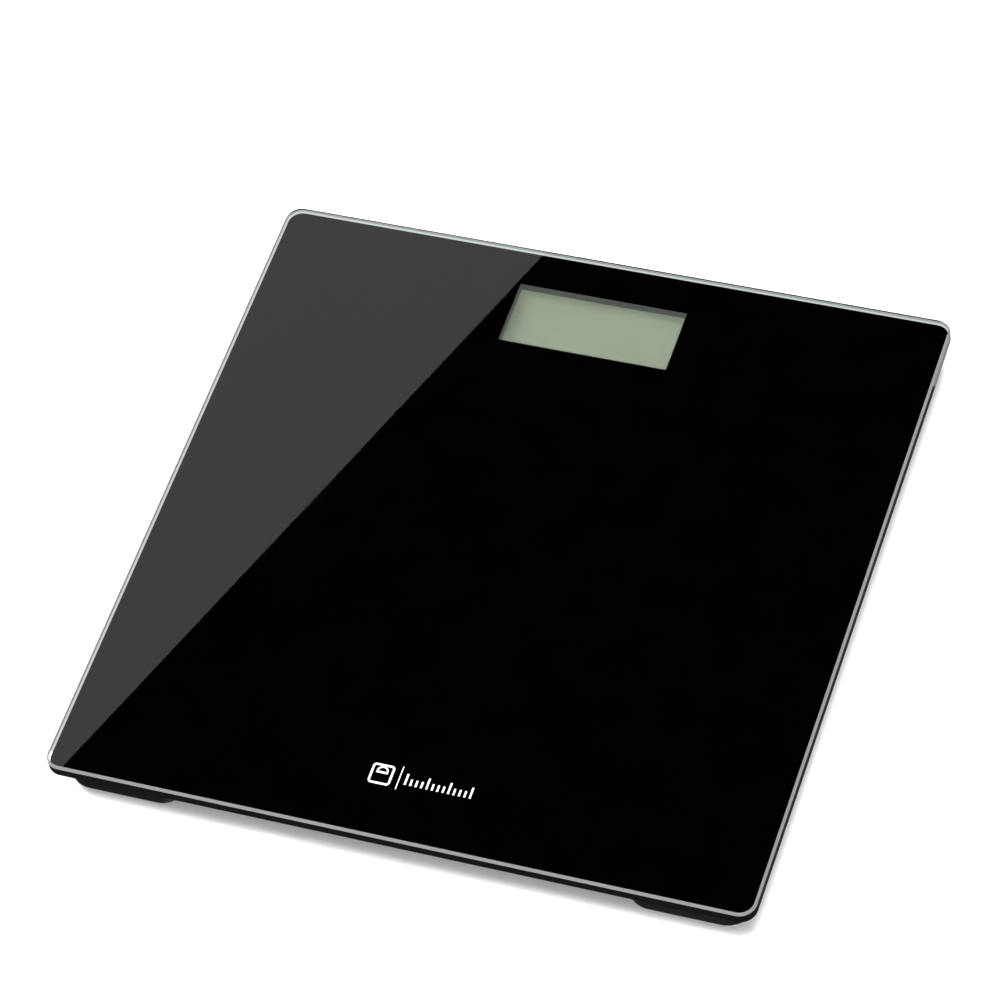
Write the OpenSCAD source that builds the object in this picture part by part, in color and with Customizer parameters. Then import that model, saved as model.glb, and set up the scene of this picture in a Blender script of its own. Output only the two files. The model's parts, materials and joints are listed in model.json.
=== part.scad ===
// Digital bathroom scale: a glass platform on four load-cell feet, with a display housing under it.
// Millimetres. +Z is up, +Y points to the display edge. The origin is on the floor under the centre.

/* [Glass plate] */
// Width of the glass, left to right
plate_w = 300; // [260:5:360]
// Depth of the glass, front to back
plate_d = 300; // [250:5:360]
// Thickness of the glass
glass_t = 6; // [4:0.5:8]
// Corner radius of the glass
plate_r = 7; // [4:0.5:14]
// Width of the ground bevel round the top edge, seen from above
bevel_w = 1; // [0.4:0.1:1.2]
// Depth of the same bevel down the side
bevel_h = 1.1; // [0.6:0.1:2]
// Size of the small bevel round the underside edge
arris = 0.5; // [0.3:0.1:0.8]
// Height of the glass underside above the floor
ride_h = 14.5; // [14.5:0.1:18]

/* [Printing under the glass] */
// Thickness of the fired ink
print_t = 0.2; // [0.2:0.05:0.4]
// Clear border left between the ink and the glass edge
print_inset = 1; // [0.5:0.1:3]
// Width of the white mark near the front edge
mark_w = 43; // [30:1:60]
// Height of the white mark
mark_h = 11; // [8:0.5:16]
// Distance from the front edge to the middle of the mark
mark_edge = 30.5; // [24:0.5:60]

/* [Display] */
// Width of the window
window_w = 75; // [60:1:92]
// Depth of the window, front to back
window_d = 31; // [26:1:38]
// Distance from the back edge of the glass to the window
window_edge = 18; // [16:0.5:30]
// Depth of the display face below the ink
well_h = 3.8; // [3:0.1:4]
// How far the display runs under the bezel on each side
lcd_lap = 2.5; // [2:0.1:4]
// Thickness of one glass sheet of the display
lcd_sheet = 0.8; // [0.5:0.05:0.9]

/* [Feet] */
// Width of one square foot
foot_w = 52; // [48:1:64]
// Corner radius of a foot
foot_r = 11; // [8:0.5:14]
// Distance from the glass edge to a foot
foot_inset = 4.5; // [3:0.5:20]
// Wall of the foot cap
cap_wall = 2; // [1.6:0.1:2.4]
// Height that the rubber stands below the cap
rubber_proud = 1.2; // [0.8:0.1:1.6]
// Drop of the foot on its hooks when the scale is lifted
foot_play = 0.5; // [0.3:0.1:0.6]
// Width of the square load cell
cell_w = 34; // [30:1:36]
// Thickness of the load cell's steel
cell_t = 1.4; // [1:0.1:1.6]

/* [Battery and button] */
// Diameter of the coin cell
coin_d = 20; // [16:0.5:24.5]
// Thickness of the coin cell
coin_t = 3.2; // [2:0.1:3.2]
// Diameter of the unit button
button_d = 8; // [6:0.5:10]
// Travel of the unit button
button_travel = 0.5; // [0.3:0.05:0.6]
// Thickness of the circuit board
board_t = 1.2; // [1:0.1:1.6]

/* [Leads] */
// Diameter of one insulated wire
wire_d = 1; // [0.8:0.05:1.2]
// Bend radius of a wire on its way under the glass
wire_bend = 6; // [4:0.5:8]

/* [Hidden] */
$fn = 64;

// Colours
black_plastic = [0.07, 0.07, 0.075];
bezel_grey = [0.22, 0.23, 0.23];
steel = [0.72, 0.73, 0.75];

// Gap between pieces of different bodies, and the tighter gap of a running pin
gap = 0.3;
pin_gap = 0.05;
// How far a cut runs past a face, and how far joined shapes run into each other
past = 1;
bite = 0.1;
// Gap round a piece that is dropped into a pocket
loose = 0.2;

// Heights in the stack, from the glass downwards
tape_t = 0.8;
z_print = ride_h - print_t;
z_seat = z_print - tape_t;

// The mark stands a little to the right of the middle
mark_shift = 2.8;

// Window and display
window_y = plate_d / 2 - window_edge - window_d / 2;
lcd_w = window_w + 2 * lcd_lap;
lcd_d = window_d + 2 * lcd_lap;
lcd_ledge = 3.5;
z_lcd = z_print - well_h;
z_lcd_rear = z_lcd - 2 * lcd_sheet;
bezel_wall = 1.3;
bezel_w = lcd_w + 2 * (loose + bezel_wall);
bezel_d = lcd_d + 2 * (loose + bezel_wall);
flange_w = 3;
flange_r = 1.5;
bezel_r = 1;

// Circuit board
zebra_w = 2.2;
zebra_end = 2;
zebra_room = 1.6;
z_board = z_lcd_rear - zebra_room;
z_board_low = z_board - board_t;

// Cover and door
cover_t = 1.4;
under_board = 2.3;
z_cover = z_board_low - under_board;
z_cover_low = z_cover - cover_t;
door_t = 1.2;
door_margin_x = 5;
door_margin_y = 3.5;
door_w = coin_d + 2 * door_margin_x;
door_d = coin_d + 2 * door_margin_y;
door_r = 2;
pad_h = 1;

// Tray outline
tray_wall = 1.8;
tray_roof = 1.5;
tray_r = 7;
side_room = 18.25;
back_room = 13;
between_room = 7;
front_room = 4;
tray_w = bezel_w + 2 * side_room;
tray_back = window_y + window_d / 2 + back_room;
tray_front = window_y - window_d / 2 - between_room - door_d - front_room;
tray_y = (tray_back + tray_front) / 2;
tray_d = tray_back - tray_front;
z_roof = z_seat - tray_roof;

// Cover screws and their bosses
boss_r = 3;
screw_r = 1.1;
screw_head_r = 2.3;
screw_length = 6;
screw_bite = 0.02;
boss_side = 0.7;
boss_end = 1.2;
boss_x = tray_w / 2 - tray_wall - boss_r - boss_side;
boss_in = tray_wall + boss_r + boss_end;
boss_places = [for (sx = [-1, 1], y = [tray_front + boss_in, tray_back - boss_in]) [sx * boss_x, y]];

// Board outline, its screws and bosses
board_side = 1.5;
board_x = boss_x - boss_r - board_side;
board_end = 5.5;
board_y0 = tray_front + board_end;
board_y1 = tray_back - board_end;
board_boss_r = 2.5;
board_screw_r = 0.9;
board_screw_in = 3.5;
board_screw_head_r = 2;
board_screw_head_h = 1;
board_screw_length = 4;

// Battery pocket and door hinge
door_side = 2.5;
door_front = 1.5;
coin_x = -boss_x + boss_r + door_side + door_w / 2;
coin_y = tray_front + tray_wall + door_front + door_d / 2;
pocket_r = coin_d / 2 + gap;
pocket_wall = 1.5;
door_gap = 0.1;
notch_gap = 1.2;
z_coin = z_cover_low + door_t + door_gap;
z_coin_top = z_coin + coin_t;
notch_x = coin_x + pocket_r + pocket_wall + notch_gap;
notch_y = coin_y + pocket_r + pocket_wall + notch_gap;
barrel_r = 1.1;
hinge_y = coin_y + door_d / 2 - barrel_r;
hinge_z = z_cover_low + barrel_r;
barrel_side = 3;
barrel_w = door_w - 2 * barrel_side;
door_rear = hinge_y - 2;
pin_r = 0.7;
pin_len = 2.2;
leaf_t = 0.25;
leaf_w = 6;

notch_screw = 7;
board_screw_places = [[-board_x + board_screw_in, board_y1 - board_screw_in],
    [board_x - board_screw_in, board_y1 - board_screw_in],
    [board_x - board_screw_in, board_y0 + board_screw_in],
    [notch_x + board_screw_in + notch_screw, board_y0 + board_screw_in]];

// Unit button
button_x = 22;
button_y = coin_y;
button_in = 0.2;
flange_grow = 1.5;
flange_t = 0.7;
switch_w = 5.2;
switch_h = 1;
switch_top = 0.05;
plunger_gap = 0.1;
plunger_r = 0.9;

// Feet
foot_x = plate_w / 2 - foot_inset - foot_w / 2;
foot_y = plate_d / 2 - foot_inset - foot_w / 2;
FOOT_SIGNS = [[-1, -1], [1, -1], [1, 1], [-1, 1]];
cap_floor = 2;
cap_bevel = 0.6;
z_cap_floor = rubber_proud + cap_floor;
cap_gap = 0.2;
z_cap_top = z_seat - cap_gap;
rubber_sunk = 0.4;
rubber_margin = 3.5;
rubber_w = foot_w - 2 * rubber_margin;
rubber_r = foot_r - rubber_margin;
base_gap = 0.5;
base_w = foot_w - 2 * cap_wall - 2 * base_gap;
base_r = foot_r - cap_wall - base_gap;
base_t = 1.6;
pad_in = 1.5;
z_base = z_seat - base_t;
rest_h = 1.8;
z_cell_top = z_base - rest_h;
z_cell = z_cell_top - cell_t;
frame_band = 4.5;
cell_r = 3;
rest_r = 1;
tongue_w = 13;
tongue_tip = 6.5;
stake_in = 0.2;
stake_at = cell_w / 2 - frame_band / 2 - stake_in;
stake_r = 1;
stake_head_r = 1.7;
stake_head_h = 0.7;
gauge_y = 7;
gauge_w = 8;
gauge_d = 6;
gauge_r = 1.5;
gauge_h = 0.9;
hook_w = 12;
hook_t = 1.2;
barb = 0.9;
barb_h = 1.2;
hook_in = 0.8;
hook_face = base_w / 2 - hook_in;
z_barb_top = z_cell - gap;
ledge_w = hook_w + 2;
ledge_h = 1.05;
ledge_t = 1.2;

// Leads
wire_gap = 0.15;
wire_lift = 0.05;
wire_pitch = wire_d + wire_gap;
z_wire = z_cell_top + wire_d / 2 + wire_lift;
wire_drop_bend = 1.5;
slot_w = 3 * wire_pitch + 1;
run_x = (tray_w / 2 + foot_x - foot_w / 2) / 2;
entry_drop = 1;
pad_side = 6;
entry_front_y = window_y - window_d / 2 - entry_drop;
pad_x = bezel_w / 2 + pad_side;

// Flat outline with rounded corners, centred
module rounded(w, d, r) {
    square([w - 2 * r, d], center = true);
    square([w, d - 2 * r], center = true);
    for (sx = [-1, 1], sy = [-1, 1])
        translate([sx * (w / 2 - r), sy * (d / 2 - r)])
            circle(r);
}

module slab(w, d, r, z0, z1) {
    translate([0, 0, z0])
        linear_extrude(z1 - z0)
            rounded(w, d, r);
}

module box(x0, x1, y0, y1, z0, z1) {
    translate([x0, y0, z0])
        cube([x1 - x0, y1 - y0, z1 - z0]);
}

// A layer whose sides lean in by c over its height h, with a cone at each corner
module leaning_layer(w, d, r, c, h) {
    rotate([90, 0, 0])
        linear_extrude(d - 2 * r, center = true)
            polygon([[-w / 2, 0], [w / 2, 0], [w / 2 - c, h], [c - w / 2, h]]);
    rotate([90, 0, 90])
        linear_extrude(w - 2 * r, center = true)
            polygon([[-d / 2, 0], [d / 2, 0], [d / 2 - c, h], [c - d / 2, h]]);
    for (sx = [-1, 1], sy = [-1, 1])
        translate([sx * (w / 2 - r), sy * (d / 2 - r), 0])
            cylinder(h = h, r1 = r, r2 = r - c);
}

// ---- Glass and printing ----

module glass_plate() {
    z_bevel = ride_h + glass_t - bevel_h;
    color([0.75, 0.85, 0.82, 0.5]) {
        slab(plate_w, plate_d, plate_r, ride_h + arris, z_bevel);
        translate([0, 0, z_bevel])
            leaning_layer(plate_w, plate_d, plate_r, bevel_w, bevel_h);
        translate([0, 0, ride_h + arris])
            mirror([0, 0, 1])
                leaning_layer(plate_w, plate_d, plate_r, arris, arris);
    }
}

// A plain pictogram, a divider and a row of graduation ticks
module mark_outline() {
    line = 0.9;
    icon = mark_h * 0.86;
    icon_r = 1.6;
    dial_r = icon * 0.26;
    dial_y = icon * 0.14;
    dial_line = line * 0.8;
    rule_gap = 3;
    rule_w = 0.4;
    rule_x = icon + rule_gap;
    ticks = 13;
    tick_w = 0.8;
    tick_long = 5.2;
    tick_short = 3;
    tick_gap = (mark_w - rule_x - rule_gap) / (ticks - 1);
    translate([-mark_w / 2, 0]) {
        translate([icon / 2, 0])
            difference() {
                rounded(icon, icon, icon_r);
                rounded(icon - 2 * line, icon - 2 * line, icon_r - line);
            }
        translate([icon / 2, dial_y])
            intersection() {
                difference() {
                    circle(dial_r);
                    circle(dial_r - dial_line);
                }
                translate([-icon / 2, 0])
                    square([icon, icon / 2]);
            }
        translate([icon / 2 - dial_r, dial_y - line])
            square([2 * dial_r, line]);
        translate([rule_x - rule_w / 2, -mark_h / 2])
            square([rule_w, mark_h]);
        for (k = [0:ticks - 1])
            translate([rule_x + rule_gap + k * tick_gap - tick_w / 2, -tick_long / 2])
                square([tick_w, k % 4 == 0 ? tick_long : tick_short]);
    }
}

module mark_place() {
    translate([mark_shift, mark_edge - plate_d / 2, 0])
        children();
}

module backing_print() {
    color("black")
        difference() {
            slab(plate_w - 2 * print_inset, plate_d - 2 * print_inset, plate_r - print_inset,
                z_print, ride_h);
            translate([0, window_y, z_print + print_t / 2])
                cube([window_w, window_d, 2 * print_t], center = true);
            mark_place()
                translate([0, 0, ride_h - print_t / 2])
                    linear_extrude(print_t)
                        mark_outline();
        }
}

module printed_mark() {
    color("white")
        mark_place()
            translate([0, 0, ride_h - print_t / 2])
                linear_extrude(print_t / 2)
                    mark_outline();
}

// ---- Display ----

module display_bezel() {
    color(bezel_grey)
        translate([0, window_y, 0])
            difference() {
                union() {
                    slab(bezel_w + 2 * flange_w, bezel_d + 2 * flange_w, flange_r, z_seat, z_print);
                    slab(bezel_w, bezel_d, bezel_r, z_lcd_rear, z_seat);
                }
                translate([0, 0, z_lcd])
                    linear_extrude(well_h + past)
                        square([window_w, window_d], center = true);
                translate([0, 0, z_lcd_rear - past])
                    linear_extrude(z_lcd - z_lcd_rear + past)
                        square([lcd_w + 2 * loose, lcd_d + 2 * loose], center = true);
            }
}

// Two laminated sheets: the front one is deeper, and its ledges carry the contacts
module lcd_panel() {
    color([0.61, 0.64, 0.56])
        translate([0, window_y, 0]) {
            translate([-lcd_w / 2, -lcd_d / 2, z_lcd - lcd_sheet])
                cube([lcd_w, lcd_d, lcd_sheet]);
            translate([-lcd_w / 2, lcd_ledge - lcd_d / 2, z_lcd_rear])
                cube([lcd_w, lcd_d - 2 * lcd_ledge, lcd_sheet]);
        }
}

module zebra_strip(side) {
    strip_y = side * (lcd_d / 2 - lcd_ledge / 2);
    color([0.85, 0.45, 0.5])
        translate([zebra_end - lcd_w / 2, window_y + strip_y - zebra_w / 2, z_board])
            cube([lcd_w - 2 * zebra_end, zebra_w, z_lcd - lcd_sheet - z_board]);
}

module zebra_strip_front() { zebra_strip(-1); }
module zebra_strip_back() { zebra_strip(1); }

// ---- Circuit board ----

module circuit_board() {
    color([0.1, 0.35, 0.2])
        difference() {
            box(-board_x, board_x, board_y0, board_y1, z_board_low, z_board);
            box(-board_x - past, notch_x, board_y0 - past, notch_y, z_board_low - past, z_board + past);
            for (p = board_screw_places)
                translate([p.x, p.y, z_board_low - past])
                    cylinder(h = board_t + 2 * past, r = board_screw_r + loose);
        }
}

// Drop of black resin over the controller, on the board's underside
module controller_blob() {
    blob_r = 6;
    blob_h = 1.4;
    blob_x = 14;
    blob_y = -4;
    ball_r = (blob_r * blob_r + blob_h * blob_h) / (2 * blob_h);
    color([0.03, 0.03, 0.03])
        translate([blob_x, window_y + blob_y, z_board_low])
            intersection() {
                translate([0, 0, ball_r - blob_h])
                    sphere(ball_r, $fn = 180);
                translate([-blob_r - past, -blob_r - past, -blob_h - past])
                    cube([2 * (blob_r + past), 2 * (blob_r + past), blob_h + past]);
            }
}

// Chip capacitors, resistors and a crystal on the board's underside: place, then size
module board_components() {
    chips = [[-6, -4, 3.2, 1.6, 1.2], [-6, -8, 3.2, 1.6, 1.2], [-6, 0, 2, 1.25, 0.6],
        [-10, 4, 2, 1.25, 0.6], [-14, 4, 2, 1.25, 0.6], [-18, 4, 2, 1.25, 0.6],
        [28, -6, 2, 1.25, 0.6], [28, -2, 2, 1.25, 0.6], [28, 2, 2, 1.25, 0.6],
        [14, 8, 6, 2.2, 1.6], [-26, -6, 3.2, 2.6, 1.4], [5, 12, 3.2, 1.6, 1.2]];
    color([0.55, 0.48, 0.38])
        for (c = chips)
            translate([c[0] - c[2] / 2, window_y + c[1] - c[3] / 2, z_board_low - c[4]])
                cube([c[2], c[3], c[4]]);
}

module unit_switch() {
    color(steel)
        difference() {
            translate([button_x - switch_w / 2, button_y - switch_w / 2, z_board_low - switch_h])
                cube([switch_w, switch_w, switch_h]);
            translate([button_x, button_y, z_board_low - switch_h - past])
                cylinder(h = switch_h + past - switch_top, r = plunger_r + loose);
        }
}

module switch_plunger() {
    plunger_top = z_board_low - plunger_gap - button_travel;
    color([0.1, 0.1, 0.1])
        translate([button_x, button_y, z_cover + flange_t])
            cylinder(h = plunger_top - z_cover - flange_t, r = plunger_r);
}

// Upright leaf that touches the coin cell's rim, with a foot on the board
module contact_positive() {
    rim_y = coin_y + coin_d / 2;
    low_end = 0.6;
    foot_l = 4;
    color(steel) {
        box(coin_x - leaf_w / 2, coin_x + leaf_w / 2, rim_y, rim_y + leaf_t,
            z_coin + low_end, z_board + leaf_t);
        box(coin_x - leaf_w / 2, coin_x + leaf_w / 2, rim_y, notch_y + foot_l,
            z_board, z_board + leaf_t);
    }
}

// Leaf across the top of the coin cell, stepped up to a foot on the board
module contact_negative() {
    edge_gap = 0.4;
    reach = 3;
    foot_l = 5;
    step_x = notch_x - edge_gap - leaf_t;
    color(steel) {
        box(coin_x - reach, step_x + leaf_t, coin_y - leaf_w / 2, coin_y + leaf_w / 2,
            z_coin_top, z_coin_top + leaf_t);
        box(step_x, step_x + leaf_t, coin_y - leaf_w / 2, coin_y + leaf_w / 2,
            z_coin_top, z_board + leaf_t);
        box(step_x, notch_x + foot_l, coin_y - leaf_w / 2, coin_y + leaf_w / 2,
            z_board, z_board + leaf_t);
    }
}

module coin_cell() {
    step_w = 0.9;
    step_h = 0.4;
    color([0.8, 0.8, 0.82])
        translate([coin_x, coin_y, z_coin]) {
            cylinder(h = coin_t - step_h, r = coin_d / 2);
            translate([0, 0, coin_t - step_h])
                cylinder(h = step_h, r = coin_d / 2 - step_w);
        }
}

// ---- Housing ----

module tray_place() {
    translate([0, tray_y, 0])
        children();
}

module electronics_tray() {
    inner_r = tray_r - tray_wall;
    rim_w = bezel_w + 2 * loose;
    rim_d = bezel_d + 2 * loose;
    rib_t = 1.2;
    rib_h = 2;
    hole_h = 6;
    board_hole_h = 3.5;
    slot_play = 0.3;
    color(black_plastic)
        difference() {
            union() {
                tray_place()
                    difference() {
                        slab(tray_w, tray_d, tray_r, z_cover, z_seat);
                        slab(tray_w - 2 * tray_wall, tray_d - 2 * tray_wall, inner_r,
                            z_cover - past, z_roof);
                    }
                // Rib round the display bezel
                translate([0, window_y, z_roof - rib_h])
                    linear_extrude(rib_h + bite)
                        square([rim_w + 2 * rib_t, rim_d + 2 * rib_t], center = true);
                for (p = boss_places)
                    translate([p.x, p.y, z_cover])
                        cylinder(h = z_roof + bite - z_cover, r = boss_r);
                for (p = board_screw_places)
                    translate([p.x, p.y, z_board])
                        cylinder(h = z_roof + bite - z_board, r = board_boss_r);
            }
            translate([0, window_y, z_roof - rib_h - past])
                linear_extrude(tray_roof + rib_h + 2 * past)
                    square([rim_w, rim_d], center = true);
            for (p = boss_places)
                translate([p.x, p.y, z_cover - past])
                    cylinder(h = hole_h + past, r = screw_r + screw_bite);
            for (p = board_screw_places)
                translate([p.x, p.y, z_board - past])
                    cylinder(h = board_hole_h + past, r = board_screw_r + screw_bite);
            // Openings in the side walls for the leads
            for (sx = [-1, 1], y = [entry_front_y, foot_y + gauge_y])
                translate([sx * (tray_w / 2 - tray_wall / 2), y, z_wire])
                    cube([2 * tray_wall, slot_w, wire_d + 2 * slot_play], center = true);
        }
}

module tray_cover() {
    lip_h = 1.4;
    lip_t = 1.2;
    lip_gap = 0.25;
    floor_x = 1.2;
    floor_y = 0.7;
    ring_h = 0.8;
    ring_t = 1.2;
    sink_h = 0.8;
    finger_r = 5;
    finger_h = 0.7;
    contact_gap = 0.4;
    lip_w = tray_w - 2 * tray_wall - 2 * lip_gap;
    lip_d = tray_d - 2 * tray_wall - 2 * lip_gap;
    lip_r = tray_r - tray_wall - lip_gap;
    color(black_plastic)
        difference() {
            union() {
                tray_place() {
                    slab(tray_w, tray_d, tray_r, z_cover_low, z_cover);
                    difference() {
                        slab(lip_w, lip_d, lip_r, z_cover - bite, z_cover + lip_h);
                        slab(lip_w - 2 * lip_t, lip_d - 2 * lip_t, lip_r - lip_t,
                            z_cover - past, z_cover + lip_h + past);
                    }
                }
                // Thicker floor over the door, and the ring that holds the coin cell
                translate([coin_x, coin_y, 0])
                    slab(door_w + 2 * floor_x, door_d + 2 * floor_y, door_r, z_cover - bite,
                        z_cover + pad_h);
                translate([coin_x, coin_y, z_cover])
                    cylinder(h = z_coin_top - z_cover, r = pocket_r + pocket_wall);
                // Guide ring for the button's flange
                translate([button_x, button_y, z_cover - bite])
                    cylinder(h = ring_h + bite, r = button_d / 2 + flange_grow + gap + ring_t);
            }
            // Lip cleared round the screw bosses
            for (p = boss_places)
                translate([p.x, p.y, z_cover])
                    cylinder(h = lip_h + past, r = boss_r + gap);
            for (p = boss_places)
                translate([p.x, p.y, z_cover_low - past]) {
                    cylinder(h = cover_t + 2 * past, r = screw_r + loose);
                    cylinder(h = sink_h + past, r = screw_head_r + loose);
                }
            // Door recess, coin pocket and the hinge's room
            box(coin_x - door_w / 2 - gap, coin_x + door_w / 2 + gap,
                coin_y - door_d / 2 - gap, door_rear + gap,
                z_cover_low - past, z_cover_low + door_t + door_gap);
            box(coin_x - barrel_w / 2 - gap, coin_x + barrel_w / 2 + gap,
                door_rear - past, hinge_y + barrel_r + gap,
                z_cover_low - past, hinge_z + barrel_r + gap);
            translate([coin_x, coin_y, z_cover_low])
                cylinder(h = z_coin_top + past - z_cover_low, r = pocket_r);
            translate([coin_x - barrel_w / 2 - gap - pin_len, hinge_y, hinge_z])
                rotate([0, 90, 0])
                    cylinder(h = barrel_w + 2 * gap + 2 * pin_len, r = pin_r + pin_gap);
            // Way in for the upright contact
            box(coin_x - leaf_w / 2 - gap, coin_x + leaf_w / 2 + gap,
                coin_y + coin_d / 2 - past, coin_y + pocket_r + pocket_wall + past,
                z_coin + contact_gap, z_coin_top + past);
            // Finger notch beside the door
            translate([coin_x, coin_y - door_d / 2 - gap, z_cover_low])
                cylinder(h = 2 * finger_h, r = finger_r, center = true);
            // Button hole and its flange pocket
            translate([button_x, button_y, z_cover_low - past])
                cylinder(h = cover_t + 2 * past, r = button_d / 2 + gap);
            translate([button_x, button_y, z_cover])
                cylinder(h = ring_h + past, r = button_d / 2 + flange_grow + gap);
        }
}

// Pan-head screw pointing up, its head's lower face at z = 0
module screw(head_r, head_h, shank_r, length) {
    cross_w = 0.5;
    cross_h = 0.4;
    difference() {
        union() {
            cylinder(h = head_h, r = head_r);
            cylinder(h = head_h + length, r = shank_r);
        }
        for (a = [0, 90])
            rotate(a)
                cube([head_r * 1.2, cross_w, 2 * cross_h], center = true);
    }
}

module cover_screws() {
    head_in = 0.1;
    head_h = 0.7;
    color(steel)
        for (p = boss_places)
            translate([p.x, p.y, z_cover_low + head_in])
                screw(screw_head_r, head_h, screw_r, screw_length);
}

module board_screws() {
    color(steel)
        for (p = board_screw_places)
            translate([p.x, p.y, z_board_low - board_screw_head_h])
                screw(board_screw_head_r, board_screw_head_h, board_screw_r, board_screw_length);
}

module tray_adhesive() {
    margin = 3;
    around = 0.5;
    hole_w = bezel_w + 2 * flange_w + 2 * around;
    hole_d = bezel_d + 2 * flange_w + 2 * around;
    color([0.9, 0.9, 0.88])
        difference() {
            tray_place()
                slab(tray_w - 2 * margin, tray_d - 2 * margin, tray_r - margin, z_seat, z_print);
            translate([0, window_y, z_seat - past])
                linear_extrude(tape_t + 2 * past)
                    square([hole_w, hole_d], center = true);
        }
}

module battery_door() {
    front_edge = coin_y - door_d / 2;
    tongue_x = 6;
    slit_w = 0.8;
    slit_y = 2.5;
    slit_l = 7;
    grip_w = 8;
    grip_y = 2;
    grip_pitch = 1.6;
    grip_t = 0.7;
    grip_h = 0.4;
    color(black_plastic)
        difference() {
            union() {
                box(coin_x - door_w / 2, coin_x + door_w / 2, front_edge, door_rear,
                    z_cover_low, z_cover_low + door_t);
                box(coin_x - barrel_w / 2, coin_x + barrel_w / 2, door_rear - bite, hinge_y,
                    z_cover_low, z_cover_low + door_t);
                translate([coin_x - barrel_w / 2, hinge_y, hinge_z])
                    rotate([0, 90, 0])
                        cylinder(h = barrel_w, r = barrel_r);
                translate([coin_x - barrel_w / 2 - pin_len, hinge_y, hinge_z])
                    rotate([0, 90, 0])
                        cylinder(h = barrel_w + 2 * pin_len, r = pin_r);
            }
            // Slots that free the latch tongue, and grip grooves across it
            for (sx = [-1, 1])
                translate([coin_x + sx * tongue_x, front_edge + slit_y, z_cover_low])
                    cube([slit_w, slit_l, 2 * door_t + past], center = true);
            for (k = [0:3])
                translate([coin_x, front_edge + grip_y + grip_pitch * k, z_cover_low])
                    cube([grip_w, grip_t, 2 * grip_h], center = true);
        }
}

module unit_button() {
    dish_r = 14;
    dish_h = 0.5;
    z_low = z_cover_low + button_in;
    color([0.3, 0.31, 0.32])
        difference() {
            translate([button_x, button_y, z_low]) {
                cylinder(h = z_cover - z_cover_low, r = button_d / 2);
                translate([0, 0, z_cover - z_low])
                    cylinder(h = flange_t, r = button_d / 2 + flange_grow);
            }
            // Shallow finger dish
            translate([button_x, button_y, z_low + dish_h - dish_r])
                sphere(dish_r);
        }
}

// ---- Feet ----

module foot_place(n) {
    translate([FOOT_SIGNS[n - 1].x * foot_x, FOOT_SIGNS[n - 1].y * foot_y, 0])
        children();
}

module foot_adhesive(n) {
    color([0.9, 0.9, 0.88])
        foot_place(n)
            slab(base_w - 2 * pad_in, base_w - 2 * pad_in, base_r - pad_in, z_seat, z_print);
}

// Barbed leg on the +Y side of a base
module hook() {
    rotate([90, 0, 90])
        linear_extrude(hook_w, center = true)
            polygon([[hook_face - hook_t, z_base + bite], [hook_face, z_base + bite],
                [hook_face, z_barb_top], [hook_face + barb, z_barb_top],
                [hook_face, z_barb_top - barb_h], [hook_face - hook_t, z_barb_top - barb_h]]);
}

module foot_base(n) {
    inward = -FOOT_SIGNS[n - 1].x;
    color(black_plastic)
        foot_place(n)
            difference() {
                union() {
                    slab(base_w, base_w, base_r, z_base, z_seat);
                    difference() {
                        slab(cell_w - 1, cell_w - 1, cell_r, z_cell_top, z_base + bite);
                        slab(cell_w - 2 * frame_band + 1, cell_w - 2 * frame_band + 1, rest_r,
                            z_cell_top - past, z_base);
                    }
                    // Pins through the load cell, spread over at their ends
                    for (sx = [-1, 1], sy = [-1, 1])
                        translate([sx * stake_at, sy * stake_at, z_cell - stake_head_h]) {
                            cylinder(h = z_base - z_cell + stake_head_h, r = stake_r);
                            cylinder(h = stake_head_h, r = stake_head_r);
                        }
                    hook();
                    mirror([0, 1, 0])
                        hook();
                }
                // Way out for the wires
                translate([inward * cell_w / 2, gauge_y, z_cell_top])
                    cube([3 * frame_band, slot_w, 2 * rest_h], center = true);
            }
}

// Steel plate with a U-shaped slot that leaves a sensing tongue
module load_cell(n) {
    window = cell_w - 2 * frame_band;
    color(steel)
        foot_place(n)
            difference() {
                slab(cell_w, cell_w, cell_r, z_cell, z_cell_top);
                difference() {
                    translate([0, 0, z_cell - past])
                        linear_extrude(cell_t + 2 * past)
                            square(window, center = true);
                    box(-tongue_w / 2, tongue_w / 2, -tongue_tip, window / 2 + past,
                        z_cell - 2 * past, z_cell_top + 2 * past);
                }
                for (sx = [-1, 1], sy = [-1, 1])
                    translate([sx * stake_at, sy * stake_at, z_cell - past])
                        cylinder(h = cell_t + 2 * past, r = stake_r + pin_gap);
            }
}

module gauge_coating(n) {
    edge = 1;
    crown_h = 0.3;
    color([0.93, 0.93, 0.9])
        foot_place(n)
            translate([0, gauge_y, 0]) {
                slab(gauge_w, gauge_d, gauge_r, z_cell_top, z_cell_top + gauge_h);
                slab(gauge_w - 2 * edge, gauge_d - 2 * edge, gauge_r / 2,
                    z_cell_top, z_cell_top + gauge_h + crown_h);
            }
}

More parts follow.
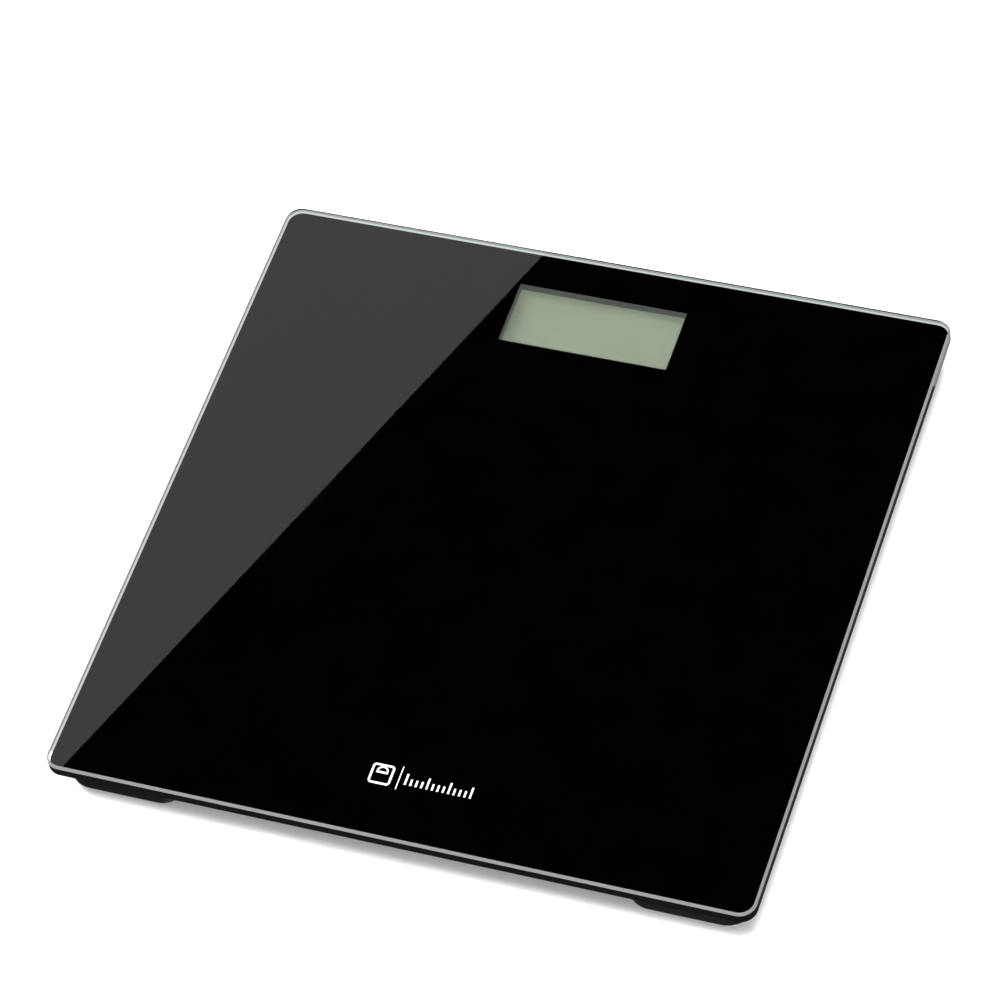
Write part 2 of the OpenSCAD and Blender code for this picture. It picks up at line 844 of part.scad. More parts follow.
module foot_cap(n) {
    inward = -FOOT_SIGNS[n - 1].x;
    inner = foot_w - 2 * cap_wall;
    z_ledge = z_barb_top + foot_play + pin_gap;
    rib_t = 1.2;
    rib_h = 2;
    post_r = 4.5;
    tip_r = 3;
    tip_h = 0.8;
    ledge_in = 0.4;
    color(black_plastic)
        foot_place(n) {
            difference() {
                union() {
                    slab(foot_w, foot_w, foot_r, rubber_proud + cap_bevel, z_cap_top);
                    translate([0, 0, rubber_proud + cap_bevel])
                        mirror([0, 0, 1])
                            leaning_layer(foot_w, foot_w, foot_r, cap_bevel, cap_bevel);
                }
                slab(inner, inner, foot_r - cap_wall, z_cap_floor, z_cap_top + past);
                slab(rubber_w + loose, rubber_w + loose, rubber_r + loose / 2,
                    rubber_proud - past, rubber_proud + rubber_sunk);
                // Slot that the wires leave through
                box(inward * foot_w / 2 - cap_wall - past, inward * foot_w / 2 + cap_wall + past,
                    gauge_y - slot_w / 2, gauge_y + slot_w / 2,
                    z_wire - wire_d / 2 - gap, z_cap_top + past);
            }
            // Ribs, and the post that presses the load cell's tongue
            for (a = [0, 90])
                rotate(a)
                    box(-inner / 2 - bite, inner / 2 + bite, -rib_t / 2, rib_t / 2,
                        z_cap_floor - bite, z_cap_floor + rib_h);
            translate([0, 0, z_cap_floor - bite])
                cylinder(h = z_cell - tip_h - z_cap_floor + bite, r = post_r);
            translate([0, 0, z_cap_floor])
                cylinder(h = z_cell - z_cap_floor, r = tip_r);
            // Ledges over the base's hooks
            for (sy = [-1, 1])
                translate([-ledge_w / 2, sy * (inner / 2 - ledge_in) - ledge_t / 2, z_ledge])
                    cube([ledge_w, ledge_t, ledge_h]);
        }
}

// Pad with two square grooves in its tread
module foot_rubber(n) {
    groove = 1.2;
    groove_h = 0.5;
    outer_in = 4;
    inner_in = 10;
    color([0.05, 0.05, 0.05])
        foot_place(n)
            difference() {
                slab(rubber_w, rubber_w, rubber_r, 0, rubber_proud + rubber_sunk);
                for (inset = [outer_in, inner_in])
                    difference() {
                        slab(rubber_w - 2 * inset, rubber_w - 2 * inset, rubber_r - inset / 2,
                            -past, groove_h);
                        slab(rubber_w - 2 * (inset + groove), rubber_w - 2 * (inset + groove),
                            rubber_r - (inset + groove) / 2, -2 * past, groove_h + past);
                    }
            }
}

// ---- Leads ----

module wire_run(a, b) {
    d = b - a;
    translate(a)
        rotate([0, acos(d.z / norm(d)), atan2(d.y, d.x)])
            cylinder(h = norm(d), r = wire_d / 2, $fn = 24);
}

// Quarter bend at corner p, coming along u and leaving along v
module wire_corner(p, u, v, bend) {
    w = cross(u, v);
    c = p - bend * u + bend * v;
    multmatrix([[-v.x, u.x, w.x, c.x], [-v.y, u.y, w.y, c.y], [-v.z, u.z, w.z, c.z], [0, 0, 0, 1]])
        rotate_extrude(angle = 90, $fn = 48)
            translate([bend, 0])
                circle(wire_d / 2, $fn = 24);
}

// Wire k of foot n: 0, 1 and 2 lie side by side
module lead_wire(n, k) {
    s = FOOT_SIGNS[n - 1];
    o = (k - 1) * wire_pitch;
    start = [s.x * (foot_x - gauge_w / 2), s.y * foot_y + gauge_y + o, z_wire];
    inward = [-s.x, 0, 0];
    down = [0, 0, -1];
    end = [s.x * pad_x, s.y > 0 ? start.y : entry_front_y + o, z_board];
    over = [end.x, end.y, z_wire];
    if (s.y > 0)
        wire_run(start, over - wire_drop_bend * inward);
    else {
        side = s.x * (run_x + o);
        ahead = [0, 1, 0];
        turn = [side, start.y, z_wire];
        join = [side, end.y, z_wire];
        wire_run(start, turn - wire_bend * inward);
        wire_corner(turn, inward, ahead, wire_bend);
        wire_run(turn + wire_bend * ahead, join - wire_bend * ahead);
        wire_corner(join, ahead, inward, wire_bend);
        wire_run(join + wire_bend * inward, over - wire_drop_bend * inward);
    }
    wire_corner(over, inward, down, wire_drop_bend);
    wire_run(over + wire_drop_bend * down, end);
}

module lead_red(n) { color("red") lead_wire(n, 0); }
module lead_white(n) { color("white") lead_wire(n, 1); }
module lead_black(n) { color([0.15, 0.15, 0.15]) lead_wire(n, 2); }

// Saddle stuck under the glass, round the three wires of a lead that runs along Y
module lead_clip() {
    wall = 1;
    length = 6;
    play = 0.2;
    inside = 3 * wire_pitch + 2 * play;
    z_low = z_wire - wire_d / 2 - gap;
    difference() {
        box(-inside / 2 - wall, inside / 2 + wall, -length / 2, length / 2, z_low - wall, z_print);
        box(-inside / 2, inside / 2, -length / 2 - past, length / 2 + past,
            z_low, z_wire + wire_d / 2 + gap);
    }
}

module lead_clips() {
    front = -foot_y + gauge_y + 2 * wire_bend;
    back = entry_front_y - 2 * wire_bend;
    clips = 4;
    between = (run_x + foot_x - foot_w / 2) / 2;
    color([0.9, 0.9, 0.9]) {
        for (sx = [-1, 1], k = [0:clips - 1])
            translate([sx * run_x, front + (back - front) * k / (clips - 1), 0])
                lead_clip();
        for (sx = [-1, 1])
            translate([sx * between, foot_y + gauge_y, 0])
                rotate(90)
                    lead_clip();
    }
}

glass_plate();
backing_print();
printed_mark();
display_bezel();
lcd_panel();
zebra_strip_front();
zebra_strip_back();
circuit_board();
controller_blob();
board_components();
unit_switch();
switch_plunger();
contact_positive();
contact_negative();
coin_cell();
electronics_tray();
tray_cover();
cover_screws();
board_screws();
tray_adhesive();
battery_door();
unit_button();
lead_clips();
for (n = [1:4]) {
    foot_adhesive(n);
    foot_base(n);
    load_cell(n);
    gauge_coating(n);
    foot_cap(n);
    foot_rubber(n);
    lead_red(n);
    lead_white(n);
    lead_black(n);
}
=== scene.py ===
import bpy
import json
import math
from mathutils import Matrix, Vector


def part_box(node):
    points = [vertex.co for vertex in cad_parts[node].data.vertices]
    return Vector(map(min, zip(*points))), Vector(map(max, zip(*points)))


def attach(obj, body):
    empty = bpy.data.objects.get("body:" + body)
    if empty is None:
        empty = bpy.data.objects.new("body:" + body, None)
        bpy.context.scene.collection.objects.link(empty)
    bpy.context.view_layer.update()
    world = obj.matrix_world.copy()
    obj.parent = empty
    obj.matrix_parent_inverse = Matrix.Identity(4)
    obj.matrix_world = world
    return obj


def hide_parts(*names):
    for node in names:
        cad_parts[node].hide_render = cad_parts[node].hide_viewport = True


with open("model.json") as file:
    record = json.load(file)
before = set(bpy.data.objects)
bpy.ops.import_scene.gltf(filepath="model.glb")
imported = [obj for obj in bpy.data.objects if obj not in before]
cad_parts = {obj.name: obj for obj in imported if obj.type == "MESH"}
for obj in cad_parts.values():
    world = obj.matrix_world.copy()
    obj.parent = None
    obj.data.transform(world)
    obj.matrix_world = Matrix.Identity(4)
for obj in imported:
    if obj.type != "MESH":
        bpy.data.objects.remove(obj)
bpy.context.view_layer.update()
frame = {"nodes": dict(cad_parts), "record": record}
cadNodes = frame["nodes"]
mm = 0.001
print("packed model loaded:", len(cadNodes), "pieces")


# colours are given as sRGB hex values, and Blender wants linear ones
def linear(hexColour):
    parts = [int(hexColour[i:i + 2], 16) / 255 for i in (0, 2, 4)]
    return [p / 12.92 if p <= 0.04045 else ((p + 0.055) / 1.055) ** 2.4 for p in parts] + [1]


# adds one node, sets its sockets or properties, and links its inputs
def addNode(tree, kind, settings=None, links=None):
    made = tree.nodes.new("ShaderNode" + kind)
    for name, value in (settings or {}).items():
        if isinstance(name, int) or name in made.inputs:
            made.inputs[name].default_value = value
        else:
            setattr(made, name, value)
    for name, source in (links or {}).items():
        tree.links.new(source, made.inputs[name])
    return made


def newMaterial(name, settings):
    made = bpy.data.materials.new(name)
    made.use_nodes = True
    tree = made.node_tree
    shader = tree.nodes["Principled BSDF"]
    for socket, value in settings.items():
        shader.inputs[socket].default_value = value
    place = addNode(tree, "TexCoord").outputs["Object"]
    return made, tree, shader, place


def feedShader(tree, shader, colour, gloss, lift):
    for socket, source in (("Base Color", colour.outputs[2]), ("Roughness", gloss.outputs[0]),
                           ("Normal", lift.outputs[0])):
        tree.links.new(source, shader.inputs[socket])


noiseMiddle = {"From Min": 0.3, "From Max": 0.7}  # where most of a noise pattern lies


# a fine moulded or cast surface: two greys apart by a little, uneven gloss and a grain to the light
def grainySurface(name, dark, light, grainSize, rough, bump, settings=None, patch=18):
    made, tree, shader, place = newMaterial(name, settings or {})
    grain = addNode(tree, "TexNoise", {"Scale": 1 / (grainSize * mm), "Detail": 2.5}, {"Vector": place})
    cloud = addNode(tree, "TexNoise", {"Scale": 1 / (patch * mm), "Detail": 3}, {"Vector": place})
    colour = addNode(tree, "Mix", {"data_type": "RGBA", 6: linear(dark), 7: linear(light)},
                     {0: cloud.outputs[0]})
    gloss = addNode(tree, "MapRange", {**noiseMiddle, "To Min": rough[0], "To Max": rough[1]},
                    {"Value": grain.outputs[0]})
    lift = addNode(tree, "Bump", {"Strength": bump, "Distance": 0.1 * mm}, {"Height": grain.outputs[0]})
    feedShader(tree, shader, colour, gloss, lift)
    return made


# drawn, rolled or brushed metal: long fine lines along one axis
def linedMetal(name, dark, light, lineSize, along, rough, bump, settings=None):
    made, tree, shader, place = newMaterial(name, {"Metallic": 1, **(settings or {})})
    stretch = [1 / (lineSize * mm)] * 3
    stretch[along] /= 40  # each line is 40 times as long as it is wide
    drawn = addNode(tree, "Mapping", {"Scale": stretch}, {"Vector": place})
    lines = addNode(tree, "TexNoise", {"Scale": 1, "Detail": 3}, {"Vector": drawn.outputs[0]})
    colour = addNode(tree, "Mix", {"data_type": "RGBA", 6: linear(dark), 7: linear(light)},
                     {0: lines.outputs[0]})
    gloss = addNode(tree, "MapRange", {**noiseMiddle, "To Min": rough[0], "To Max": rough[1]},
                    {"Value": lines.outputs[0]})
    lift = addNode(tree, "Bump", {"Strength": bump, "Distance": 0.05 * mm}, {"Height": lines.outputs[0]})
    feedShader(tree, shader, colour, gloss, lift)
    return made


# clear toughened soda-lime glass: a mirror-flat face with the faintest film of handling
clearGlass, tree, shader, place = newMaterial("clearFloatGlass", {
    "Base Color": linear("fbfffd"), "Transmission Weight": 1, "IOR": 1.52})
film = addNode(tree, "TexNoise", {"Scale": 1 / (30 * mm), "Detail": 4}, {"Vector": place})
haze = addNode(tree, "MapRange", {"From Min": 0.35, "From Max": 0.75, "To Min": 0, "To Max": 0.02},
               {"Value": film.outputs[0]})
tree.links.new(haze.outputs[0], shader.inputs["Roughness"])

# ground glass bevel: the wheel leaves a pale satin edge that scatters light
groundGlass = grainySurface("groundGlassEdge", "757575", "7c7c7c", 0.4, (0.3, 0.45), 0.15, {"IOR": 1.52})

# side of the sheet, ground and then polished on the wheel: nearly clear, so that it is dark against the ink
polishedSide, tree, shader, place = newMaterial("polishedGlassSide", {
    "Base Color": linear("f4faf7"), "Transmission Weight": 1, "IOR": 1.52})
wheel = addNode(tree, "TexNoise", {"Scale": 1 / (0.5 * mm), "Detail": 2}, {"Vector": place})
polish = addNode(tree, "MapRange", {**noiseMiddle, "To Min": 0.03, "To Max": 0.1},
                 {"Value": wheel.outputs[0]})
tree.links.new(polish.outputs[0], shader.inputs["Roughness"])

# fired ceramic enamel behind the glass: dense black with a barely uneven film
blackInk = grainySurface("firedBlackEnamel", "000000", "010101", 0.6, (0.35, 0.5), 0.05,
                         {"Specular IOR Level": 0})
# the same enamel seen bare from below: satin, with the faint texture of the printing screen
enamelBack = grainySurface("blackEnamelBack", "0b0b0c", "101011", 0.7, (0.3, 0.42), 0.12)
# white ceramic enamel: opaque, slightly chalky
whiteInk = grainySurface("firedWhiteEnamel", "dcdedd", "e6e7e6", 0.5, (0.4, 0.55), 0.05,
                         {"Specular IOR Level": 0})
# grey ABS of the display surround: fine spark-eroded mould texture
bezelPlastic = grainySurface("mouldedGreyAbs", "282929", "2d2e2e", 0.35, (0.45, 0.6), 0.25)
# reflective twisted-nematic display, switched off: sage green with a pearly grain
displayGlass = grainySurface("reflectiveDisplay", "4d5246", "4f5448", 0.5, (0.34, 0.42), 0.01,
                             {"Specular IOR Level": 0.15}, patch=25)
# black resin drop: poured, glossy, a little wavy
resin = grainySurface("pouredBlackResin", "070707", "0c0c0c", 2.5, (0.12, 0.25), 0.25)
# ceramic bodies of the chip parts
chipCeramic = grainySurface("firedChipCeramic", "8c7a62", "a08c72", 0.5, (0.45, 0.6), 0.2)
# black acetal plunger of the switch
plungerPlastic = grainySurface("blackAcetal", "111112", "171718", 0.3, (0.3, 0.4), 0.1)
# black ABS housing: satin spark-eroded texture that breaks up its highlights
housingPlastic = grainySurface("mouldedBlackAbs", "19191a", "212122", 0.4, (0.42, 0.6), 0.35)
# white polyethylene foam tape: matt, with open cells
foamTape = grainySurface("whiteFoamTape", "d6d6d0", "ecece7", 0.8, (0.85, 0.95), 0.8)
# dark grey ABS button: smoother than the housing
buttonPlastic = grainySurface("mouldedGreyButton", "3c3e40", "454749", 0.4, (0.35, 0.45), 0.2)
# natural nylon cable saddles: milky, slightly waxy
clipPlastic = grainySurface("naturalNylon", "d9d7cd", "e6e4db", 0.6, (0.35, 0.5), 0.15,
                            {"Subsurface Weight": 0.1})
# soft silicone over the strain gauge: milky and uneven
silicone = grainySurface("whiteSilicone", "dcdcd6", "efefea", 1.2, (0.3, 0.5), 0.4,
                         {"Subsurface Weight": 0.15})
# black polypropylene foot: satin, darker than the housing
footPlastic = grainySurface("mouldedBlackFoot", "09090a", "0e0e0f", 0.45, (0.4, 0.58), 0.3,
                            {"Specular IOR Level": 0.35})
# soft black rubber pad: matt and dusty
footRubber = grainySurface("blackRubber", "262625", "323130", 0.5, (0.75, 0.92), 0.5)
# PVC insulation of the wires: satin, very smooth
wireRed = grainySurface("redPvcWire", "a31612", "b52019", 1.5, (0.32, 0.42), 0.05)
wireWhite = grainySurface("whitePvcWire", "d8d8d4", "e8e8e5", 1.5, (0.32, 0.42), 0.05)
wireBlack = grainySurface("blackPvcWire", "141414", "1c1c1c", 1.5, (0.32, 0.42), 0.05)

# nickel-plated contact leaves, rolled along their length
contactMetal = linedMetal("rolledNickelStrip", "b9b6ae", "d2cfc7", 0.3, 0, (0.2, 0.32), 0.1)
# stainless can of the coin cell, fine turned lines
cellSteel = linedMetal("brushedCellSteel", "b4b6b8", "d0d2d4", 0.3, 1, (0.26, 0.38), 0.12, {"Metallic": 0.75})
# zinc-plated screws
screwSteel = linedMetal("zincPlatedSteel", "a8abb0", "c4c8cc", 0.35, 2, (0.25, 0.4), 0.1)
# cold-rolled spring steel of the load cells, with a clear nickel flash
springSteel = linedMetal("rolledSpringSteel", "9a9da0", "b8bbbe", 0.4, 0, (0.28, 0.4), 0.12)

# rows of conducting carbon between pink silicone, drawn at 0.5 mm where the real ones are 0.1 mm
zebraRubber, tree, shader, place = newMaterial("zebraSilicone", {"Roughness": 0.6})
bands = addNode(tree, "TexWave", {"bands_direction": "X", "Scale": 1 / (0.5 * mm) / 20 * math.pi},
                {"Vector": place})
colour = addNode(tree, "Mix", {"data_type": "RGBA", 6: linear("1c1b1b"), 7: linear("c98f92")},
                 {0: bands.outputs["Fac"]})
tree.links.new(colour.outputs[2], shader.inputs["Base Color"])

# glass-epoxy board under green solder mask, copper tracks showing as lighter lines 0.4 mm wide
circuitBoard, tree, shader, place = newMaterial("greenSolderMask", {"Roughness": 0.35})
tracks = addNode(tree, "TexBrick", {
    "Scale": 1 / (12 * mm), "Mortar Size": 0.03, "Mortar Smooth": 0.1, "Brick Width": 1.1,
    "Row Height": 0.21, "offset": 0.37, "squash": 0.6, "Color1": linear("1d4a2c"),
    "Color2": linear("20502f"), "Mortar": linear("3c7a48")}, {"Vector": place})
maskLift = addNode(tree, "Bump", {"Strength": 0.3, "Distance": 0.05 * mm, "invert": True},
                   {"Height": tracks.outputs["Fac"]})
tree.links.new(tracks.outputs["Color"], shader.inputs["Base Color"])
tree.links.new(maskLift.outputs[0], shader.inputs["Normal"])
print("finishes mixed:", len(bpy.data.materials))


def setFinish(piece, finish):
    piece.data.materials.clear()
    piece.data.materials.append(finish)


def deselectAll():
    if bpy.context.object and bpy.context.object.mode != "OBJECT":
        bpy.ops.object.mode_set(mode="OBJECT")
    bpy.ops.object.select_all(action="DESELECT")


# selects the faces or edges of the piece in edit mode for which the test holds
def selectFaces(piece, test):
    bpy.ops.mesh.select_mode(type="FACE")
    bpy.ops.mesh.select_all(action="DESELECT")
    bpy.ops.object.mode_set(mode="OBJECT")
    for face in piece.data.polygons:
        face.select = test(face)
    bpy.ops.object.mode_set(mode="EDIT")


def selectEdges(piece, test):
    bpy.ops.mesh.select_mode(type="EDGE")
    bpy.ops.mesh.select_all(action="DESELECT")
    bpy.ops.object.mode_set(mode="OBJECT")
    corners = piece.data.vertices
    for edge in piece.data.edges:
        edge.select = test(corners[edge.vertices[0]].co, corners[edge.vertices[1]].co)
    bpy.ops.object.mode_set(mode="EDIT")


# starts a piece as a block between two corners and leaves it in edit mode, its place in its mesh
def startBlock(name, low, high):
    deselectAll()
    low, high = Vector(low), Vector(high)
    bpy.ops.mesh.primitive_cube_add(size=1, location=(low + high) / 2, scale=high - low)
    piece = bpy.context.object
    piece.name = name
    bpy.ops.object.transform_apply(location=True, rotation=True, scale=True)
    bpy.ops.object.mode_set(mode="EDIT")
    return piece


def pick(piece):
    deselectAll()
    piece.select_set(True)
    bpy.context.view_layer.objects.active = piece


# smooths a piece up to an angle, gives it its finish, hangs it on the body it rides on, and hides the piece
# it replaces
def endPiece(piece, finish, body, replaced, smooth=35):
    pick(piece)
    bpy.ops.object.shade_smooth_by_angle(angle=math.radians(smooth))
    flats = piece.modifiers.new("flatsStayFlat", "WEIGHTED_NORMAL")
    flats.keep_sharp = True
    flats.weight = 100
    bpy.ops.object.modifier_apply(modifier=flats.name)
    setFinish(piece, finish)
    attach(piece, body)
    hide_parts(replaced)
    return piece


bodyOf = {n: body for body, nodes in frame["record"]["behaviour"]["bodies"].items() for n in nodes}
weldGap = 0.001 * mm
edging = {"flatAngle": 0.3, "sharpAngle": 30, "segments": 2}  # angles in degrees


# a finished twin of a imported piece: its triangles merged, flat faces joined,
# and sharp edges rounded as a mould leaves them
def roundedTwin(node, name, radius, finish):
    piece = bpy.data.objects.new(name, cadNodes[node].data.copy())
    bpy.context.collection.objects.link(piece)
    pick(piece)
    if piece.data.has_custom_normals:
        bpy.ops.mesh.customdata_custom_splitnormals_clear()
    bpy.ops.object.mode_set(mode="EDIT")
    bpy.ops.mesh.select_all(action="SELECT")
    bpy.ops.mesh.remove_doubles(threshold=weldGap)
    bpy.ops.mesh.dissolve_limited(angle_limit=math.radians(edging["flatAngle"]))
    bpy.ops.object.mode_set(mode="OBJECT")
    if radius:
        rounding = piece.modifiers.new("edgeRounding", "BEVEL")
        rounding.width = radius * mm
        rounding.segments = edging["segments"]
        rounding.limit_method = "ANGLE"
        rounding.angle_limit = math.radians(edging["sharpAngle"])
        rounding.miter_outer = "MITER_ARC"
        bpy.ops.object.modifier_apply(modifier=rounding.name)
    return endPiece(piece, finish, bodyOf[node], node)


# glass sheet
glass = {"cornerRadius": 7, "cornerSteps": 20, "bevelWidth": 1, "bevelDepth": 1.1, "arris": 0.5,
         "contact": 0.02}  # how far the ink sits into the glass, so light meets it with no air between
low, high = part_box("glass_plate")
sheet = startBlock("glassSheet", (low.x, low.y, low.z - glass["contact"] * mm), high)
selectEdges(sheet, lambda a, b: abs(a.z - b.z) > mm)
bpy.ops.mesh.bevel(offset=glass["cornerRadius"] * mm, segments=glass["cornerSteps"], affect="EDGES")
selectFaces(sheet, lambda f: f.normal.z > 0.9)
bpy.ops.transform.translate(value=(0, 0, -glass["bevelDepth"] * mm))
bpy.ops.mesh.inset(thickness=glass["bevelWidth"] * mm, depth=glass["bevelDepth"] * mm)
bpy.ops.mesh.select_all(action="SELECT")
bpy.ops.mesh.remove_doubles(threshold=weldGap)
selectEdges(sheet, lambda a, b: max(a.z, b.z) < low.z + 0.1 * mm)  # the edges round the underside
bpy.ops.mesh.bevel(offset=glass["arris"] * mm, segments=1, affect="EDGES")
endPiece(sheet, clearGlass, "platform", "glass_plate", smooth=12)
sheet.data.materials.append(groundGlass)
sheet.data.materials.append(polishedSide)
for face in sheet.data.polygons:
    if 0.2 < face.normal.z < 0.8:
        face.material_index = 1  # the bevel round the top
    elif abs(face.normal.z) < 0.8:
        face.material_index = 2  # the side and the arris under it
sheet.visible_shadow = False  # lets the soft light down to the ink and the display
print("glass sheet made")

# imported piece: new name, edge radius in mm, finish, slot
twins = {
    "display_bezel": ("displaySurround", 0.2, bezelPlastic, "bezel_plastic"),
    "lcd_panel": ("displayGlass", 0.08, displayGlass, "lcd"),
    "zebra_strip_front": ("frontZebraStrip", 0.1, zebraRubber, "zebra_rubber"),
    "zebra_strip_back": ("backZebraStrip", 0.1, zebraRubber, "zebra_rubber"),
    "circuit_board": ("circuitBoard", 0.08, circuitBoard, "circuit_board"),
    "controller_blob": ("resinDrop", 0.1, resin, "resin"),
    "board_components": ("chipParts", 0.1, chipCeramic, "chip_ceramic"),
    "unit_switch": ("unitSwitch", 0.1, contactMetal, "contact_metal"),
    "switch_plunger": ("switchPlunger", 0.1, plungerPlastic, "plunger_plastic"),
    "contact_positive": ("positiveContact", 0.08, contactMetal, "contact_metal"),
    "contact_negative": ("negativeContact", 0.08, contactMetal, "contact_metal"),
    "coin_cell": ("coinCell", 0.2, cellSteel, "cell_steel"),
    "electronics_tray": ("electronicsTray", 0.25, housingPlastic, "housing_plastic"),
    "tray_cover": ("trayCover", 0.25, housingPlastic, "housing_plastic"),
    "cover_screws": ("coverScrews", 0.12, screwSteel, "screw_steel"),
    "board_screws": ("boardScrews", 0.1, screwSteel, "screw_steel"),
    "tray_adhesive": ("trayTape", 0.15, foamTape, "foam_tape"),
    "battery_door": ("batteryDoor", 0.15, housingPlastic, "housing_plastic"),
    "unit_button": ("unitButton", 0.25, buttonPlastic, "button_plastic"),
    "lead_clips": ("leadSaddles", 0.2, clipPlastic, "clip_plastic")}
for n in "1234":
    twins.update({
        f"foot_adhesive_{n}": (f"footTape{n}", 0.15, foamTape, "foam_tape"),
        f"foot_base_{n}": (f"footBase{n}", 0.2, housingPlastic, "foot_plastic"),
        f"load_cell_{n}": (f"loadCell{n}", 0.12, springSteel, "spring_steel"),
        f"gauge_coating_{n}": (f"gaugeCoat{n}", 0.4, silicone, "silicone"),
        f"foot_cap_{n}": (f"footCap{n}", 0.3, footPlastic, "foot_plastic"),
        f"foot_rubber_{n}": (f"footPad{n}", 0.25, footRubber, "foot_rubber")})
for node, (name, radius, finish, slot) in twins.items():
    piece = roundedTwin(node, name, radius, finish)
    if node not in ("display_bezel", "lcd_panel"):
        piece.visible_transmission = False  # the clear rim shows the glowing card, not the housing
ink = roundedTwin("backing_print", "backingEnamel", 0, blackInk)
ink.data.materials.append(enamelBack)
for face in ink.data.polygons:
    face.material_index = int(face.normal.z < -0.5)  # only the bare face below
setFinish(cadNodes["printed_mark"], whiteInk)
for n in "1234":
    for colour, finish in (("red", wireRed), ("white", wireWhite), ("black", wireBlack)):
        setFinish(cadNodes[f"lead_{n}_{colour}"], finish)
print("edges rounded on", len(twins), "pieces")


# studio
studio = {
    "floorSize": 14, "floorDrop": 0.0005,
    "skyStrength": 1.03, "lowStrength": 0.08, "horizon": (-0.02, 0.5),
    "keyPower": 85, "keyAt": (-1.8, 1, 1), "keySize": 1.1,
    "topPower": 75, "topAt": (0.25, -0.35, 2.6), "topSize": 1,
    "underPower": 220, "underAt": (0, 0, -3), "underSize": 0.4,
    # glowing cards: emitting planes seen only in reflections and through the glass, a painted reflection
    # standing in for lit floor
    "glowStrength": 0.72, "glowCardDrop": 0.0003,
    "glowCards": {"backGlowCard": ((-0.6, 0.13), (0.6, 0.6)),
                    "leftGlowCard": ((-0.6, -0.133), (-0.13, 0.13))},
    # two points in mm on the line where the reflected wedge of bright sky ends
    "wedgeAt": ((-30.5, 150), (-141.3, -150)), "cardSpare": 0.25, "cardReach": 0.75}
deselectAll()
bpy.ops.mesh.primitive_plane_add(size=studio["floorSize"], location=(0, 0, -studio["floorDrop"]))
floor = bpy.context.object
floor.name = "studioFloor"
paper = grainySurface("paleStudioPaper", "f7f7f7", "fafafa", 1, (0.85, 0.95), 0.02, patch=400)
setFinish(floor, paper)
floor.visible_glossy = floor.visible_shadow = False


# stage paper is see-through from below, so the underside of the scale can be looked at
def openFromBelow(finish):
    tree = finish.node_tree
    output = tree.nodes["Material Output"]
    side = addNode(tree, "NewGeometry").outputs["Backfacing"]
    clear = addNode(tree, "BsdfTransparent")
    choice = addNode(tree, "MixShader", None, {0: side, 1: tree.nodes["Principled BSDF"].outputs[0],
                                               2: clear.outputs[0]})
    tree.links.new(choice.outputs[0], output.inputs["Surface"])


openFromBelow(paper)


# glowing cards lie on the floor behind and to the left, seen only in the clear edges of the glass: their glow
# is painted light, which the glass edges show in place of the floor
def glowCard(name, near, far):
    deselectAll()
    near, far = Vector(near), Vector(far)
    bpy.ops.mesh.primitive_plane_add(size=1, location=((near + far) / 2).to_3d())
    card = bpy.context.object
    card.name = name
    card.location.z = -studio["glowCardDrop"]
    card.scale = (far.x - near.x, far.y - near.y, 1)
    # emission with no lamp behind it, dressed as paper: painted light
    paperGlow, tree, shader, place = newMaterial(name + "Paper", {
        "Base Color": linear("000000"), "Specular IOR Level": 0,
        "Emission Strength": studio["glowStrength"]})
    fibre = addNode(tree, "TexNoise", {"Scale": 400}, {"Vector": place})
    tone = addNode(tree, "Mix", {"data_type": "RGBA", 6: linear("f2f4f6"), 7: linear("f8fafc")},
                   {0: fibre.outputs[0]})
    tree.links.new(tone.outputs[2], shader.inputs["Emission Color"])
    openFromBelow(paperGlow)
    setFinish(card, paperGlow)
    card.visible_camera = card.visible_diffuse = card.visible_shadow = False


for name, (near, far) in studio["glowCards"].items():
    glowCard(name, near, far)

world = bpy.data.worlds.new("softStudio")
bpy.context.scene.world = world
world.use_nodes = True
sky = world.node_tree
background = sky.nodes["Background"]
direction = addNode(sky, "TexCoord").outputs["Generated"]
height = addNode(sky, "SeparateXYZ", None, {0: direction}).outputs["Z"]
glow = addNode(sky, "MapRange", {
    "From Min": studio["horizon"][0], "From Max": studio["horizon"][1],
    "To Min": studio["lowStrength"], "To Max": studio["skyStrength"]}, {"Value": height})
background.inputs["Color"].default_value = linear("ffffff")
sky.links.new(glow.outputs[0], background.inputs["Strength"])


def softbox(name, power, at, size):
    deselectAll()
    bpy.ops.object.light_add(type="AREA", location=at)
    lamp = bpy.context.object
    lamp.name = name
    lamp.data.energy = power
    lamp.data.size = size
    lamp.rotation_euler = Vector(at).to_track_quat("Z", "Y").to_euler()
    return lamp


softbox("keySoftbox", studio["keyPower"], studio["keyAt"], studio["keySize"])
top = softbox("topSoftbox", studio["topPower"], studio["topAt"], studio["topSize"])
top.visible_glossy = False  # keeps the glass free of its mirror image
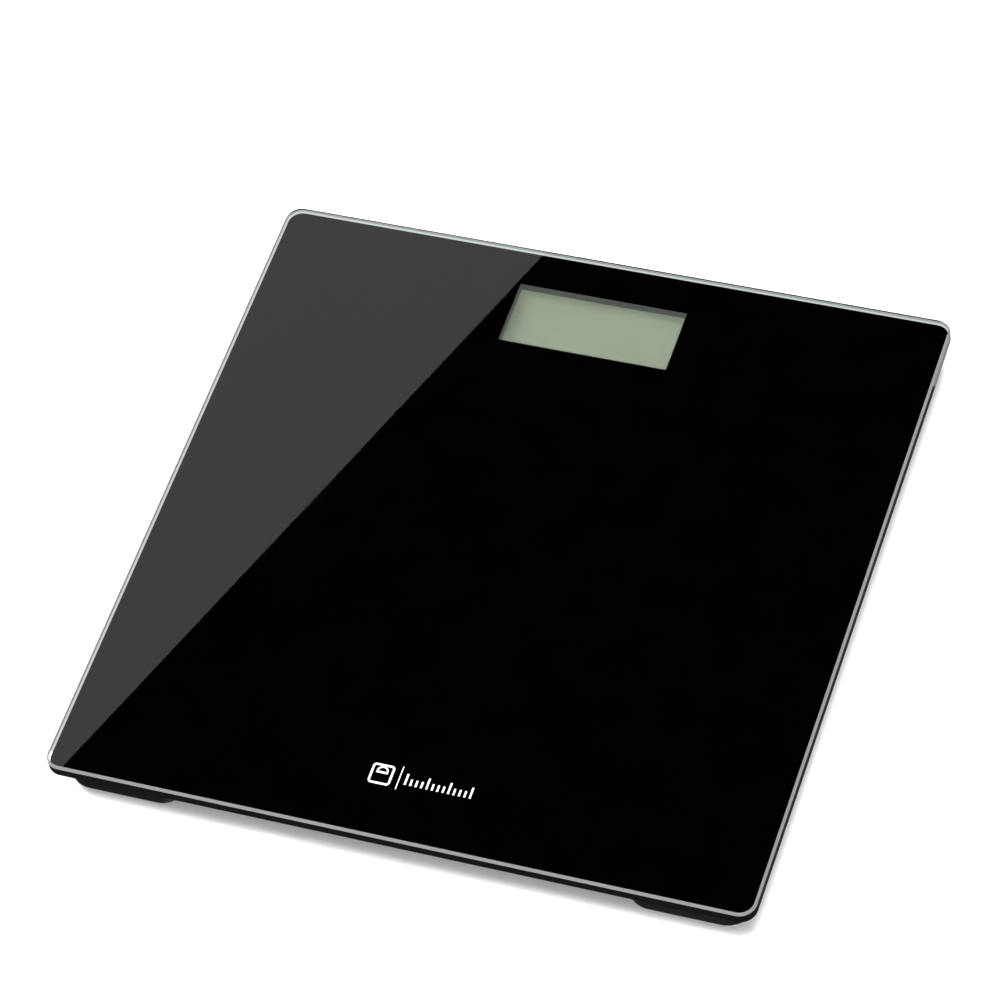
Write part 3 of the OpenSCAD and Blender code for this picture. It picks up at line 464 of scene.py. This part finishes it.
# from straight below, so that it lights the underside and passes by the sides of the feet and the glass
under = softbox("underSoftbox", studio["underPower"], studio["underAt"], studio["underSize"])
under.visible_transmission = False

# camera
view = {"azimuth": 28.08, "elevation": 52.95, "roll": 12.15, "aim": (-8.8, 18.1), "distance": 1922.7,
        "lens": 167.05}
turn, rise, roll = (math.radians(view[k]) for k in ("azimuth", "elevation", "roll"))
back = Vector((math.sin(turn) * math.cos(rise), -math.cos(turn) * math.cos(rise), math.sin(rise)))
levelRight = Vector((math.cos(turn), math.sin(turn), 0))
levelUp = back.cross(levelRight)
right = math.cos(roll) * levelRight - math.sin(roll) * levelUp
up = math.cos(roll) * levelUp + math.sin(roll) * levelRight
topOfGlass = high.z
place = Vector((view["aim"][0] * mm, view["aim"][1] * mm, topOfGlass)) + view["distance"] * mm * back
deselectAll()
bpy.ops.object.camera_add(location=place)
camera = bpy.context.object
camera.name = "studioCamera"
camera.rotation_euler = Matrix((right, up, back)).transposed().to_euler()
camera.data.lens = view["lens"]
camera.data.sensor_width = 36
camera.data.clip_start = 0.05
bpy.context.scene.camera = camera


# a dark card hangs where the glass would mirror the bright ceiling, and leaves a wedge of it at the left
def mirrored(x, y):
    return Vector((2 * x * mm - place.x, 2 * y * mm - place.y, 0))


wedgeBack, wedgeFront = (mirrored(x, y) for x, y in studio["wedgeAt"])
spare = studio["cardSpare"] * (wedgeBack - wedgeFront).normalized()
backLeft, frontLeft = wedgeBack + spare, wedgeFront - spare
reach = Vector((studio["cardReach"], 0, 0))
deselectAll()
bpy.ops.mesh.primitive_plane_add(size=1, location=(0, 0, 0))
card = bpy.context.object
card.name = "darkCard"
for corner, spot in zip(card.data.vertices, (frontLeft, frontLeft + reach, backLeft, backLeft + reach)):
    corner.co = spot + Vector((0, 0, place.z))
felt = grainySurface("blackFelt", "000000", "010101", 2, (0.95, 1), 0.1, {"Specular IOR Level": 0})
setFinish(card, felt)
card.visible_camera = card.visible_diffuse = card.visible_shadow = card.visible_transmission = False

bpy.context.scene.view_settings.view_transform = "Standard"
print("studio and camera set")
